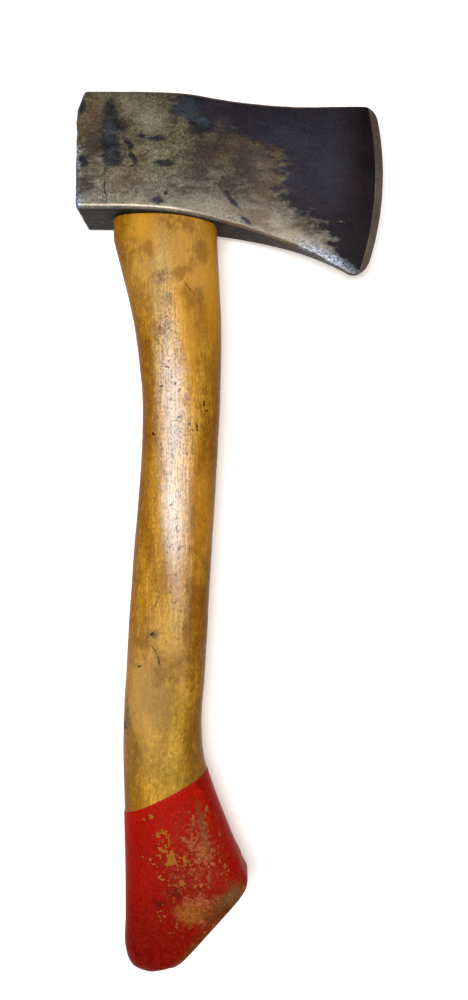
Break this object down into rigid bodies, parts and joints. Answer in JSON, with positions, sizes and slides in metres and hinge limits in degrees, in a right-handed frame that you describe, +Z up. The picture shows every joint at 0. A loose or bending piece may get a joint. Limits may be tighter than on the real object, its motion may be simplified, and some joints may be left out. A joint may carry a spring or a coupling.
{
  "type": "hatchet",
  "caption": "One-hand hatchet: forged steel head with a flat poll and a flared blade, wedged on a curved hardwood handle with a dipped red foot.",
  "frame": {"origin": "middle of the eye, on the flat side of the head that the hatchet lies on", "axes": "+X from the poll to the cutting edge, +Y up the handle to the top of the head, +Z up through the thickness"},
  "size_m": [0.1246, 0.3539, 0.026],
  "materials": {
    "forged_steel": "forged steel with an old mottled brown-grey and blue-black patina, bright where edges are rubbed",
    "hickory": "hickory under worn amber varnish, greyed and polished where it is held",
    "red_enamel": "brush-dipped red enamel on wood, chipped to bare wood and rubbed brown at the end",
    "wedge_wood": "sawn hardwood end grain, darkened with age",
    "wedge_steel": "plain steel, lightly rusted and hammer-marked on top"
  },
  "bodies": {
    "root": {"head": "forged_steel", "handle": "hickory", "paint_coat": "red_enamel", "wooden_wedge": "wedge_wood", "steel_wedge_rear": "wedge_steel", "steel_wedge_front": "wedge_steel"}
  },
  "joints": []
}
